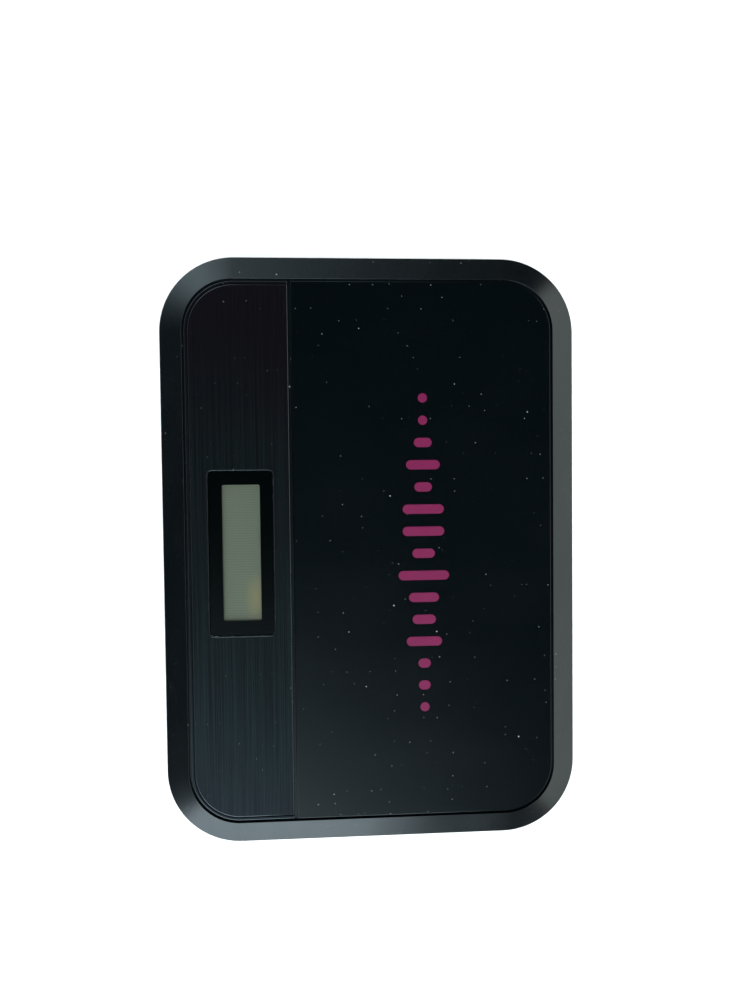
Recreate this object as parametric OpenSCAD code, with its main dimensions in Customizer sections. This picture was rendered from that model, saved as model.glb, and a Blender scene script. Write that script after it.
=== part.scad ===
/* [Case] */
// Length of the case along X
case_length = 107; // [106:0.5:110]
// Width of the case along Y
case_width = 75.7; // [75.2:0.1:77]
// Height of the closed case
case_height = 14; // [14:0.1:14.4]
// Radius of the case's corners seen from above
corner_radius = 13.5; // [13:0.1:14]
// Thickness of the housings' side walls
wall = 1.6; // [1.5:0.05:1.7]
// Width of the sloped rim round the top face
rim_width = 4.28; // [4:0.02:4.4]
// Height of the sloped rim
rim_drop = 1.8; // [1.6:0.1:2]

/* [Top face] */
// Y of the groove between the display strip and the large panel
groove_y = -14.5; // [-15:0.1:-14]
// Length of the display window along X
window_length = 30; // [29:0.1:31]
// Width of the display window along Y
window_width = 11.7; // [11.4:0.1:12]
// Length of the visible display area
view_length = 24.8; // [24:0.1:25.5]
// Width of the visible display area
view_width = 6.84; // [6.5:0.02:7.2]

/* [Battery] */
// Length of the battery pack
battery_length = 68; // [66:0.5:68]
// Width of the battery pack
battery_width = 44; // [42:0.5:44]
// Thickness of the battery pack
battery_thickness = 5.6; // [5:0.1:5.6]
// Thickness of the sliding battery cover
cover_thickness = 1.7; // [1.6:0.05:1.75]
// Travel of the battery cover before it lifts off
cover_travel = 8; // [6:0.5:8]

/* [Controls] */
// Length of the power button
power_length = 10; // [8:0.5:11]
// Length of the pairing button
pairing_length = 6; // [5:0.5:8]
// Height of both side buttons
button_height = 3; // [2.6:0.1:3.2]
// Y of both side buttons
button_y = 16; // [14:0.5:17]
// X of the reset pinhole
reset_x = 14; // [12:0.5:16]

/* [Hidden] */
$fn = 96;

half_length = case_length / 2;
half_width = case_width / 2;
past = 0.5;                        // how far a cut runs past the face it opens

// Levels from the underside upwards
seam_gap = 0.15;
deck_bottom = cover_thickness + seam_gap;
deck_top = deck_bottom + 1.2;
case_seam = 5.6;
bay_ceiling = 7.75;
bay_top = 8.65;
board_bottom = 9.3;
board_top = 10.1;
skin_bottom = 12.4;
panel_seat = case_height - 0.6;
rim_edge = case_height - rim_drop;
port_z = board_bottom - 1.3;

// Insets from the case's outline
lip_outer = wall + 0.1;
lip_inner = lip_outer + 1;
board_inset = 3;
panel_gap = 0.35;
panel_inset = rim_width + panel_gap;

// Display window and what lies under it
window_y = -23.6;
window_radius = 0.8;
lens_bottom = case_height - 0.85;
lens_top = case_height - 0.05;
lcd_top = 12.3;
lcd_length = view_length + 2.2;
lcd_width = view_width + 2.56;
lcd_frame_length = lcd_length + 6;
lcd_frame_width = lcd_width + 3.6;

// Battery and its bay
battery_y = -10;
battery_bottom = cover_thickness + 0.3;
bay_length = battery_length + 0.8;
bay_width = battery_width + 0.8;
bay_wall = 1;
contact_y = -12;
contact_pitch = 3;

// Fasteners
case_screw_x = 45;
case_screw_y = 30;
board_screw_places = [[-46.5, -8], [46.5, -8], [-38, 31], [32, 31]];

// Card socket
sim_length = 25;
sim_width = 15;
sim_thickness = 0.76;
sim_start_x = -6;
sim_y = 22.4;
sim_bottom = 7.75;
sim_socket_x = 2;
sim_window_start = -28;
sim_window_end = 1.5;
sim_window_width = 16.6;

// Cover hooks
hook_places = [-34, -4, 26];
hook_y = half_width - 3;

// Side buttons and their switches
button_clearance = 0.15;
switch_depth = 3.5;
switch_width = 4.8;
plunger_length = 1.55;
switch_face = half_length - 5.1;

module box_between(low, high) {
    translate(low) cube(high - low);
}

module rounded_outline(length, width, radius) {
    square([length - 2 * radius, width], center = true);
    square([length, width - 2 * radius], center = true);
    for (sx = [-1, 1], sy = [-1, 1])
        translate([sx * (length / 2 - radius), sy * (width / 2 - radius)])
            circle(r = radius);
}

module rounded_slab(length, width, radius, bottom, top) {
    translate([0, 0, bottom])
        linear_extrude(top - bottom)
            rounded_outline(length, width, radius);
}

// A slab with the case's own outline, drawn in by an inset
module case_slab(inset, bottom, top) {
    rounded_slab(case_length - 2 * inset, case_width - 2 * inset,
        corner_radius - inset, bottom, top);
}

// A slab whose outline tapers from one inset to another
module case_taper(inset_low, inset_high, bottom, top) {
    corner_x = half_length - corner_radius;
    corner_y = half_width - corner_radius;
    hull()
        for (sx = [-1, 1], sy = [-1, 1])
            translate([sx * corner_x, sy * corner_y, bottom])
                cylinder(r1 = corner_radius - inset_low,
                    r2 = corner_radius - inset_high, h = top - bottom, $fn = 128);
}

// A bar with round ends that lies along Y and points along X
module pill_along_x(length, height, x_low, x_high, y, z) {
    translate([x_low, y, z])
        rotate([0, 90, 0])
            linear_extrude(x_high - x_low)
                rounded_outline(height, length, height / 2 - 0.01);
}

module each_case_screw() {
    for (sx = [-1, 1], sy = [-1, 1])
        translate([sx * case_screw_x, sy * case_screw_y, 0]) children();
}

module each_board_screw() {
    for (place = board_screw_places)
        translate([place[0], place[1], 0]) children();
}

module each_hook() {
    for (x = hook_places, sy = [-1, 1])
        translate([x, sy * hook_y, 0]) children();
}

// ---- Top half of the case ----

// The way through the wall for a side button, with room inside for its flange
module button_opening(length) {
    gap = 2 * button_clearance;
    pill_along_x(length + gap, button_height + gap, half_length - 3, half_length + 1, button_y, port_z);
    box_between([half_length - 3, button_y - length / 2 - 1.2, case_seam + 0.1],
        [half_length - wall, button_y + length / 2 + 1.2, port_z + 2.4]);
}

module front_shell() {
    difference() {
        union() {
            case_slab(0, case_seam, rim_edge);
            case_taper(0, rim_width, rim_edge, case_height);
        }
        case_slab(wall, case_seam - past, 11);
        case_slab(rim_width + 0.3, 10.9, skin_bottom);
        case_slab(rim_width, panel_seat, case_height + past);
    }
    difference() {
        case_slab(lip_outer, case_seam - 1.2, case_seam + 0.8);
        case_slab(lip_inner, case_seam - 2, case_seam + 1);
    }
    difference() {
        case_slab(wall - 0.2, case_seam, case_seam + 0.8);
        case_slab(lip_inner, case_seam - past, case_seam + 1);
    }
}

module front_housing() {
    color("#1b1a1d")
    difference() {
        union() {
            front_shell();
            each_case_screw() translate([0, 0, 5.4]) cylinder(r = 2.3, h = skin_bottom + 0.1 - 5.4);
            each_board_screw() translate([0, 0, board_top]) cylinder(r = 1.9, h = skin_bottom + 0.1 - board_top);
        }
        translate([0, window_y, 0]) {
            rounded_slab(window_length + 0.2, window_width + 0.2, window_radius, lens_bottom - 0.15, case_height);
            rounded_slab(view_length + 1.6, view_width + 1.6, 0.5, skin_bottom - past, case_height);
        }
        each_case_screw() translate([0, 0, 5]) cylinder(r = 0.85, h = 6.2);
        each_board_screw() translate([0, 0, board_top - 0.2]) cylinder(r = 0.65, h = 2);
        button_opening(power_length);
        mirror([1, 0, 0]) button_opening(pairing_length);
        translate([0, half_width + 1, port_z])
            rotate([90, 0, 0])
                linear_extrude(4) rounded_outline(8.5, 3.3, 1);
        translate([reset_x, half_width + 1, port_z]) rotate([90, 0, 0]) cylinder(r = 0.7, h = 4);
    }
}

// Part of the top face on one side of a line along X
module face_outline(inset, y_low, y_high) {
    intersection() {
        rounded_outline(case_length - 2 * inset, case_width - 2 * inset, corner_radius - inset);
        translate([-half_length, y_low]) square([case_length, y_high - y_low]);
    }
}

module top_panel() {
    color("#0e1113")
    translate([0, 0, panel_seat])
        linear_extrude(0.5) face_outline(panel_inset, groove_y + 0.3, half_width);
}

module display_trim() {
    trim_edge = groove_y - 0.2;
    color("#232227")
    difference() {
        union() {
            translate([0, 0, panel_seat])
                linear_extrude(0.4) face_outline(panel_inset, -half_width, trim_edge);
            translate([0, 0, panel_seat])
                linear_extrude(0.6)
                    difference() {
                        face_outline(panel_inset + 0.15, -half_width, trim_edge - 0.15);
                        face_outline(panel_inset + 0.75, -half_width, trim_edge - 0.45);
                    }
            translate([0, window_y, 0])
                rounded_slab(window_length + 1, window_width + 1, window_radius + 0.4, panel_seat, case_height);
        }
        translate([0, window_y, 0])
            rounded_slab(window_length + 0.1, window_width + 0.1, window_radius, panel_seat - past, case_height + past);
    }
}

module display_lens() {
    color("#10140f", 0.5)
    translate([0, window_y, 0])
        rounded_slab(window_length - 0.1, window_width - 0.1, window_radius - 0.05, lens_bottom, lens_top);
}

module lens_mask() {
    color("#08080a")
    translate([0, window_y, 0])
        difference() {
            rounded_slab(window_length - 0.2, window_width - 0.2, 0.7, lens_bottom - 0.14, lens_bottom - 0.02);
            rounded_slab(view_length, view_width, 0.3, lens_bottom - past, lens_bottom + past);
        }
}

// ---- Display module ----

module lcd_glass() {
    color("#66706a")
    translate([0, window_y, 0])
        box_between([-lcd_length / 2, -lcd_width / 2, 11.1], [lcd_length / 2, lcd_width / 2, lcd_top]);
}

module lcd_frame() {
    color("#e6e6e0")
    translate([0, window_y, 0])
        difference() {
            rounded_slab(lcd_frame_length, lcd_frame_width, 0.8, board_top + 0.05, lcd_top);
            box_between([-lcd_length / 2 - 0.1, -lcd_width / 2 - 0.1, 11.05],
                [lcd_length / 2 + 0.1, lcd_width / 2 + 0.1, lcd_top + past]);
            box_between([-lcd_length / 2 + 0.4, -lcd_width / 2 + 0.3, board_top + 0.25],
                [lcd_length / 2 - 0.4, lcd_width / 2 - 0.3, 11.2]);
            box_between([lcd_length / 2 - 1, -3.6, 11.05], [lcd_frame_length / 2 + 1, 3.6, 11.4]);
        }
}

module lcd_backlight() {
    color("#d9dfd2")
    translate([0, window_y, 0])
        box_between([-lcd_length / 2 + 0.5, -lcd_width / 2 + 0.4, board_top + 0.3],
            [lcd_length / 2 - 0.5, lcd_width / 2 - 0.4, 11]);
}

module lcd_flex() {
    start_x = lcd_length / 2 + 0.2;
    color("#b9722c")
    translate([0, window_y + 3.3, 0])
        rotate([90, 0, 0])
            linear_extrude(6.6)
                polygon([
                    [start_x, 11.14], [17.4, 11.14], [18.6, 10.55], [21.2, 10.55],
                    [21.2, 10.67], [18.65, 10.67], [17.45, 11.26], [start_x, 11.26]
                ]);
}

module lcd_connector() {
    color("#d8d2c4")
    translate([0, window_y, 0])
        difference() {
            box_between([19.4, -4.2, board_top], [23, 4.2, board_top + 1]);
            box_between([19, -3.5, 10.5], [21.6, 3.5, 10.72]);
        }
}

// ---- Circuit board and what is soldered to it ----

module main_board() {
    color("#1f5a34")
    difference() {
        case_slab(board_inset, board_bottom, board_top);
        each_case_screw() translate([0, 0, board_bottom - past]) cylinder(r = 2.6, h = 2);
        each_board_screw() translate([0, 0, board_bottom - past]) cylinder(r = 0.8, h = 2);
    }
}

module shield_can(low, high) {
    color("#b9bbbd")
    difference() {
        box_between([low[0], low[1], board_top], [high[0], high[1], 11.8]);
        box_between([low[0] + 0.2, low[1] + 0.2, board_top - past], [high[0] - 0.2, high[1] - 0.2, 11.6]);
        for (x = [low[0] + 3 : 4 : high[0] - 3])
            translate([x, (low[1] + high[1]) / 2, 11.4]) cylinder(r = 0.6, h = 1);
    }
}

module modem_shield() shield_can([-40, -10], [-8, 20]);

module radio_shield() shield_can([-4, -10], [26, 8]);

module wifi_shield() shield_can([29, -10], [43, 8]);

module chip(centre, length, width, height) {
    translate([centre[0] - length / 2, centre[1] - width / 2, board_top]) cube([length, width, height]);
}

module modem_chip() color("#151517") chip([-29, 9], 12, 12, 1);

module memory_chip() color("#1a1a1c") chip([-15, 9], 8, 10, 0.9);

module power_chip() color("#18181b") chip([3, 19], 7, 7, 0.9);

module transceiver_chip() color("#161618") chip([3, -1], 8, 8, 0.9);

module power_amplifiers()
    color("#202024")
    for (x = [13, 18, 23]) chip([x, -4], 3.6, 4.6, 0.8);

module wifi_chip() color("#161618") chip([36, -1], 7, 7, 0.8);

module board_crystals() {
    color("#c9c5b8") {
        chip([-12, -5], 3.2, 2.5, 0.7);
        chip([33, 5.5], 2.5, 1.6, 0.6);
        chip([8, 5.5], 2.5, 1.6, 0.6);
    }
}

module board_capacitors()
    color("#a98f6a")
    for (x = [-36 : 3 : -12], y = [-7, -2])
        if (x < -15 || y > -4) chip([x, y], 1.6, 0.8, 0.7);

module board_inductors()
    color("#55565a")
    for (x = [11, 16, 21]) chip([x, 18], 3.2, 3.2, 1.4);

module thermal_pad() color("#8fa9c4") translate([0, 0, 1.02]) chip([-29, 9], 11, 11, 0.45);

// ---- Bottom half of the case ----

module rear_housing_solid() {
    bay_x = bay_length / 2;
    bay_y = bay_width / 2;
    difference() {
        case_slab(0, deck_bottom, case_seam - 0.1);
        case_slab(wall, deck_top, case_seam + past);
    }
    box_between([-bay_x - bay_wall, battery_y - bay_y - bay_wall, deck_bottom],
        [bay_x + bay_wall, battery_y + bay_y + bay_wall, bay_top]);
    translate([-bay_x, battery_y, deck_bottom]) cylinder(r = 8, h = 5);
    box_between([sim_window_start - 0.8, sim_y - sim_window_width / 2 - 0.8, deck_bottom],
        [sim_window_end + 0.8, sim_y + sim_window_width / 2 + 0.8, board_bottom - 0.2]);
    each_case_screw() translate([0, 0, deck_bottom]) cylinder(r = 2.8, h = 3.3);
}

module hook_slot() {
    box_between([-0.8, -0.7, deck_bottom - past], [cover_travel + 1, 0.7, deck_top + past]);
    box_between([cover_travel - 1.2, -1.35, deck_bottom - past], [cover_travel + 1.2, 1.35, deck_top + past]);
}

module rear_housing() {
    bay_x = bay_length / 2;
    bay_y = bay_width / 2;
    window_low = sim_y - sim_window_width / 2;
    window_high = sim_y + sim_window_width / 2;
    color("#17171a")
    difference() {
        rear_housing_solid();
        box_between([-bay_x, battery_y - bay_y, deck_bottom - past], [bay_x, battery_y + bay_y, bay_ceiling]);
        translate([-bay_x, battery_y, deck_bottom - past]) cylinder(r = 7, h = 4.5);
        box_between([sim_window_start, window_low, deck_bottom - past],
            [sim_window_end, window_high, board_bottom]);
        box_between([sim_window_start, window_low, 7.1], [sim_window_end + 1, window_high, board_bottom]);
        box_between([bay_x - 0.1, contact_y - 6.3, 3.7], [bay_x + 6, contact_y + 6.3, board_bottom]);
        each_case_screw() {
            translate([0, 0, deck_bottom - past]) cylinder(r = 0.95, h = 5);
            translate([0, 0, deck_bottom - past]) cylinder(r = 1.75, h = past + 1.1);
        }
        each_hook() hook_slot();
    }
}

module cover_hook() {
    box_between([-0.5, -0.45, cover_thickness - 0.3], [0.5, 0.45, deck_top + 0.85]);
    box_between([-0.8, -1.1, deck_top + 0.15], [0.8, 1.1, deck_top + 0.85]);
}

module battery_cover() {
    color("#17171a")
    difference() {
        union() {
            case_taper(1.4, 0, 0, 1);
            case_slab(0, 1, cover_thickness);
            each_hook() cover_hook();
        }
        for (x = [34 : 2 : 44])
            box_between([x, -10, -past], [x + 0.9, 10, 0.35]);
    }
}

// ---- Battery and its contacts ----

module battery_terminal_places() {
    for (i = [-1 : 1])
        translate([battery_length / 2, contact_y + i * contact_pitch, battery_bottom + 3]) children();
}

module battery_pack() {
    color("#3a3d44")
    difference() {
        translate([0, battery_y, 0])
            rounded_slab(battery_length, battery_width, 1.5, battery_bottom, battery_bottom + battery_thickness);
        battery_terminal_places() cube([0.4, 1.7, 3], center = true);
    }
}

module battery_terminals()
    color("#c9a24b")
    battery_terminal_places() translate([-0.1, 0, 0]) cube([0.2, 1.7, 3], center = true);

module battery_connector() {
    start_x = battery_length / 2 + 0.7;
    color("#26262a")
    box_between([start_x, contact_y - 6, 4], [start_x + 4.8, contact_y + 6, board_bottom]);
}

module battery_springs() {
    color("#d0a94f")
    battery_terminal_places() translate([0.05, -0.5, -1]) cube([0.65, 1, 2]);
}

// ---- Card socket ----

module sim_socket() {
    low_y = sim_y - sim_width / 2 - 0.9;
    high_y = sim_y + sim_width / 2 + 0.9;
    color("#b4b6b8")
    difference() {
        box_between([sim_socket_x + 0.6, low_y, 7.3], [20, high_y, board_bottom]);
        box_between([0, sim_y - sim_width / 2 - 0.1, sim_bottom - 0.12],
            [19.2, sim_y + sim_width / 2 + 0.1, sim_bottom + sim_thickness + 0.12]);
        box_between([7, sim_y - 4.6, sim_bottom + 0.5], [17.6, sim_y + 4.6, board_bottom - 0.1]);
    }
}

module each_sim_contact() {
    for (x = [9, 14], i = [-1 : 1])
        translate([x, sim_y + i * 2.54, 0]) children();
}

module sim_contacts()
    color("#d0a94f")
    each_sim_contact() box_between([-1, -0.4, sim_bottom + sim_thickness + 0.05], [1.6, 0.4, board_bottom - 0.1]);

module sim_card() {
    end_x = sim_start_x + sim_length;
    top = sim_bottom + sim_thickness;
    color("#f2f2ee")
    difference() {
        translate([0, 0, sim_bottom])
            linear_extrude(sim_thickness)
                polygon([
                    [sim_start_x, sim_y - sim_width / 2], [end_x - 3, sim_y - sim_width / 2],
                    [end_x, sim_y - sim_width / 2 + 3], [end_x, sim_y + sim_width / 2],
                    [sim_start_x, sim_y + sim_width / 2]
                ]);
        box_between([6, sim_y - 5.5, top - 0.1], [17, sim_y + 5.5, top + past]);
    }
}

module sim_pads() {
    top = sim_bottom + sim_thickness;
    color("#d8b45a")
    difference() {
        box_between([6, sim_y - 5.5, top - 0.1], [17, sim_y + 5.5, top]);
        box_between([11.3, sim_y - 6, top - past], [11.6, sim_y + 6, top + past]);
    }
}

// ---- Charging port ----

module usb_outline(grow) {
    polygon([
        [-3.55 - grow, 1.1 + grow], [3.55 + grow, 1.1 + grow], [3.55 + grow, -0.1],
        [2.75 + grow, -1.1 - grow], [-2.75 - grow, -1.1 - grow], [-3.55 - grow, -0.1]
    ]);
}

module usb_prism(grow, y_low, y_high) {
    translate([0, y_high, port_z])
        rotate([90, 0, 0])
            linear_extrude(y_high - y_low) usb_outline(grow);
}

module usb_shell() {
    color("#c2c4c6")
    difference() {
        usb_prism(0.2, half_width - 5.95, half_width - 0.95);
        usb_prism(0, half_width - 5.65, half_width);
    }
}

module usb_tongue() {
    color("#141416") {
        usb_prism(-0.05, half_width - 5.6, half_width - 4.6);
        box_between([-2.2, half_width - 4.7, port_z + 0.1], [2.2, half_width - 1.6, port_z + 0.7]);
    }
}

module usb_contacts()
    color("#d0a94f")
    for (i = [-2 : 2])
        box_between([i * 0.65 - 0.15, half_width - 4.5, port_z - 0.02], [i * 0.65 + 0.15, half_width - 1.8, port_z + 0.08]);

// ---- Side buttons, built pointing along +X ----

module side_button(length) {
    pill_along_x(length, button_height, half_length - 2, half_length - 0.1, button_y, port_z);
    pill_along_x(length + 1.4, button_height + 1.2, half_length - 2.3, half_length - 1.75, button_y, port_z);
    box_between([switch_face + 1.1, button_y - 1.5, port_z - 0.7], [half_length - 2.2, button_y + 1.5, port_z + 0.7]);
}

module side_switch() {
    difference() {
        box_between([switch_face - switch_depth, button_y - switch_width / 2, port_z - 1.3],
            [switch_face, button_y + switch_width / 2, board_bottom]);
        box_between([switch_face - 1, button_y - 1.3, port_z - 0.8], [switch_face + past, button_y + 1.3, port_z + 0.8]);
    }
}

module side_plunger()
    box_between([switch_face - 0.5, button_y - 1.2, port_z - 0.7],
        [switch_face - 0.5 + plunger_length, button_y + 1.2, port_z + 0.7]);

module power_button() color("#1d1d20") side_button(power_length);

module power_switch() color("#c4c6c8") side_switch();

module power_plunger() color("#d8d8d4") side_plunger();

module pairing_button() color("#1d1d20") mirror([1, 0, 0]) side_button(pairing_length);

module pairing_switch() color("#c4c6c8") mirror([1, 0, 0]) side_switch();

module pairing_plunger() color("#d8d8d4") mirror([1, 0, 0]) side_plunger();

module reset_switch() {
    face_y = half_width - 3.4;
    color("#c4c6c8")
    difference() {
        box_between([reset_x - 2.4, face_y - 3, port_z - 1.3], [reset_x + 2.4, face_y, board_bottom]);
        box_between([reset_x - 1.1, face_y - 1, port_z - 0.8], [reset_x + 1.1, face_y + past, port_z + 0.8]);
    }
}

module reset_plunger() {
    face_y = half_width - 3.4;
    color("#d8d8d4")
    box_between([reset_x - 1, face_y - 0.5, port_z - 0.7], [reset_x + 1, face_y + 1, port_z + 0.7]);
}

// ---- Antennas ----

// A flat strip with slots, in the XZ plane
module antenna_strip(length) {
    rotate([90, 0, 0])
        linear_extrude(0.2)
            difference() {
                square([length, 4], center = true);
                for (x = [-length / 2 + 3 : 5 : length / 2 - 4])
                    translate([x, -1]) square([1, 4]);
            }
}

module main_antenna()
    color("#c08a45")
    translate([-half_length + wall + 0.2, -6, 8.5]) rotate([0, 0, -90]) antenna_strip(26);

module diversity_antenna()
    color("#c08a45")
    translate([half_length - wall - 0.2, -6, 8.5]) rotate([0, 0, 90]) antenna_strip(26);

module wifi_antenna()
    color("#c08a45")
    translate([-26, half_width - wall - 0.2, 8.5]) antenna_strip(22);

// A bent contact that stands on the board and reaches out along X
module antenna_spring() {
    translate([0, 0.6, board_top])
        rotate([90, 0, 0])
            linear_extrude(1.2)
                polygon([
                    [0, 0], [1.6, 0], [1.6, 0.15], [0.4, 0.15], [2.35, 0.5],
                    [2.35, 0.65], [2.2, 0.65], [0, 0.3]
                ]);
}

module antenna_springs() {
    spring_x = half_length - board_inset - 1.4;
    color("#d0a94f") {
        for (y = [-16, 4]) {
            translate([spring_x - 0.6, y, 0]) antenna_spring();
            mirror([1, 0, 0]) translate([spring_x - 0.6, y, 0]) antenna_spring();
        }
        translate([-20, half_width - board_inset - 2, 0]) rotate([0, 0, 90]) antenna_spring();
    }
}

// ---- Fasteners ----

module screw(shank_radius, shank_length, head_radius, head_height) {
    difference() {
        union() {
            cylinder(r = head_radius, h = head_height);
            cylinder(r = shank_radius, h = head_height + shank_length);
        }
        for (angle = [0, 90])
            rotate([0, 0, angle])
                translate([-head_radius * 0.6, -0.15, -past]) cube([head_radius * 1.2, 0.3, past + 0.4]);
    }
}

module housing_screws()
    color("#2a2a2e")
    each_case_screw() translate([0, 0, deck_bottom + 0.2]) screw(0.8, 7.2, 1.6, 0.9);

module board_screws()
    color("#2a2a2e")
    each_board_screw() translate([0, 0, board_bottom - 0.7]) screw(0.6, 2.2, 1.3, 0.7);

front_housing();
top_panel();
display_trim();
display_lens();
lens_mask();
lcd_glass();
lcd_frame();
lcd_backlight();
lcd_flex();
lcd_connector();
main_board();
modem_shield();
radio_shield();
wifi_shield();
modem_chip();
memory_chip();
power_chip();
transceiver_chip();
power_amplifiers();
wifi_chip();
board_crystals();
board_capacitors();
board_inductors();
thermal_pad();
rear_housing();
battery_cover();
battery_pack();
battery_terminals();
battery_connector();
battery_springs();
sim_socket();
sim_contacts();
sim_card();
sim_pads();
usb_shell();
usb_tongue();
usb_contacts();
power_button();
power_switch();
power_plunger();
pairing_button();
pairing_switch();
pairing_plunger();
reset_switch();
reset_plunger();
main_antenna();
diversity_antenna();
wifi_antenna();
antenna_springs();
housing_screws();
board_screws();
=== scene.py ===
"""Pocket hotspot: a slab case with a sloped rim, a brushed display strip and a sliding battery cover."""

import math

import bmesh
import bpy
from bpy.props import FloatProperty, FloatVectorProperty, PointerProperty
from mathutils import Matrix, Vector


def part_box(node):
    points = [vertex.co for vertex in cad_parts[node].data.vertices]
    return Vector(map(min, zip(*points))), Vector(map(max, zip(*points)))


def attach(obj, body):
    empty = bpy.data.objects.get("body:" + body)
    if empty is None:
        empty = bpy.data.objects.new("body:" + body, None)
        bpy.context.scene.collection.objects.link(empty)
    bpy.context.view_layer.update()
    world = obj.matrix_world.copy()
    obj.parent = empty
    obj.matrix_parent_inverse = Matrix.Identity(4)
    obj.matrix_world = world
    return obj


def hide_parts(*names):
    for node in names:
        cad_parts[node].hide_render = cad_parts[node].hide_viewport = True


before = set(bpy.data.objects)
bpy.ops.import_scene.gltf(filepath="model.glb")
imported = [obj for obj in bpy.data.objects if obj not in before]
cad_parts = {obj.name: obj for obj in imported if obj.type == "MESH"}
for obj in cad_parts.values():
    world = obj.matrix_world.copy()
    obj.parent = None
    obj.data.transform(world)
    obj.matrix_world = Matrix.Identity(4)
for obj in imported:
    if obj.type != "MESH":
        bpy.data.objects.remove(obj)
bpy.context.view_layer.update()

bl_info = {
    "name": "Pocket hotspot",
    "version": (1, 0, 0),
    "blender": (4, 5, 0),
    "location": "3D View > Sidebar > Hotspot",
    "description": "Builds the looks of a pocket hotspot round its packed frame",
    "category": "Add Mesh",
}

MM = 0.001
FRONT_LOW, FRONT_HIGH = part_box("front_housing")
REAR_LOW, REAR_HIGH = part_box("rear_housing")
COVER_LOW, COVER_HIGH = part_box("battery_cover")
PANEL_LOW, PANEL_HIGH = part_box("top_panel")
TRIM_LOW, TRIM_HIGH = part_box("display_trim")
LENS_LOW, LENS_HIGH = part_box("display_lens")
PORT_LOW, PORT_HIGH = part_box("usb_shell")
BATTERY_LOW, BATTERY_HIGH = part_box("battery_pack")
CARD_LOW, CARD_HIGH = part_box("sim_card")
SCREWS_LOW, SCREWS_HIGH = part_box("housing_screws")
BOARD_LOW, BOARD_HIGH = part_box("main_board")
LOW, HIGH = Vector((FRONT_LOW.x, FRONT_LOW.y, COVER_LOW.z)), Vector(FRONT_HIGH)

X, Y, Z = 0, 1, 2

# Places and levels that several pieces share
SCREW_REACH = 1.6 * MM
SCREW_PLACES = [(x, y) for x in (SCREWS_LOW.x + SCREW_REACH, SCREWS_HIGH.x - SCREW_REACH)
                for y in (SCREWS_LOW.y + SCREW_REACH, SCREWS_HIGH.y - SCREW_REACH)]
BOARD_POSTS = [(-46.5 * MM, -8 * MM), (46.5 * MM, -8 * MM), (-38 * MM, 31 * MM), (32 * MM, 31 * MM)]
HOOK_PLACES = [(x, side * (HIGH.y - 3 * MM)) for x in (-34 * MM, -4 * MM, 26 * MM) for side in (-1, 1)]
CEILING = 12.4 * MM
SHOULDER = 11 * MM
SEAM_STEP, SEAM_GAP = 1.2 * MM, 0.1 * MM
BUTTON_FLANGE_Y, BUTTON_FLANGE_Z = 0.7 * MM, 0.6 * MM


# ---- Settings ----

def length(name, description, millimetres):
    """A length property with its default in millimetres."""
    return FloatProperty(name=name, description=description, default=millimetres * MM,
                         unit="LENGTH", subtype="DISTANCE", precision=5)


def colour(name, description, red, green, blue):
    """A colour property in linear light."""
    return FloatVectorProperty(name=name, description=description, default=(red, green, blue),
                               subtype="COLOR", min=0.0, max=1.0)


def amount(name, description, default):
    """A plain number property."""
    return FloatProperty(name=name, description=description, default=default, min=0.0)


class CaseSizes(bpy.types.PropertyGroup):
    corner_radius: length("Corner radius", "Radius of the case's corners from above", 13.5)
    rim_width: length("Rim width", "Width of the sloped rim round the top face", 4.28)
    rim_drop: length("Rim drop", "Height of the sloped rim", 1.8)
    wall: length("Wall", "Thickness of the housings' side walls", 1.6)
    deck: length("Deck", "Thickness of the rear housing's floor", 1.2)
    edge: length("Edge", "Softening of the case's outer edges", 0.16)
    seat_depth: length("Seat depth", "Depth of the seat that holds the top plates", 0.6)
    mouth_edge: length("Mouth edge", "Softening round the port and the buttons", 0.2)
    cover_taper: length("Cover taper", "Width of the slope round the cover's underside", 1.4)
    cover_slope: length("Cover slope", "Height of the slope round the cover's underside", 1.0)


class StripSizes(bpy.types.PropertyGroup):
    ridge_width: length("Ridge width", "Width of the ridge round three sides of the strip", 0.5)
    ridge_edge: length("Ridge edge", "Rounding of the ridge", 0.17)
    valley: length("Valley", "Gap between the ridge and the brushed plate", 0.14)
    valley_depth: length("Valley depth", "Depth of that gap", 0.26)
    plate_edge: length("Plate edge", "Rounding of the brushed plate's edge", 0.16)
    bead_width: length("Bead width", "Width of the raised bead round the window", 0.2)
    bead_height: length("Bead height", "Height of the bead over the brushed plate", 0.2)
    window_radius: length("Window radius", "Radius of the window's corners", 0.8)
    hairline: length("Hairline", "Spacing of the brushing marks", 0.12)


class Finishes(bpy.types.PropertyGroup):
    case: colour("Case", "Satin plastic of the rim and sides", 0.0010, 0.0018, 0.0024)
    panel: colour("Panel", "Large top panel", 0.0004, 0.0013, 0.0018)
    strip: colour("Strip", "Brushed display strip", 0.021, 0.0225, 0.028)
    edging: colour("Edging", "Polished edges of the strip", 0.085, 0.092, 0.10)
    mark: colour("Mark", "Printed bars on the panel", 0.118, 0.003, 0.041)
    display: colour("Display", "Resting display", 0.112, 0.118, 0.093)
    dust: amount("Dust", "How many dust specks lie on the top", 1.4)


class Studio(bpy.types.PropertyGroup):
    floor: colour("Floor", "Pale floor", 0.90, 0.90, 0.90)
    overhead: amount("Overhead", "Soft light from straight above, in watts per square metre", 3.6)
    room: amount("Room", "Brightness of the dim room round the object", 0.02)
    glow: amount("Glow", "Brightness of the soft glows in the room", 1.0)
    lens: amount("Lens", "Focal length of the camera, in millimetres", 26.15)


# ---- Modelling by hand: start shapes, picking, shaping ----

def only(piece):
    """Selects one object and makes it active."""
    bpy.ops.object.select_all(action="DESELECT")
    piece.select_set(True)
    bpy.context.view_layer.objects.active = piece


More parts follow.
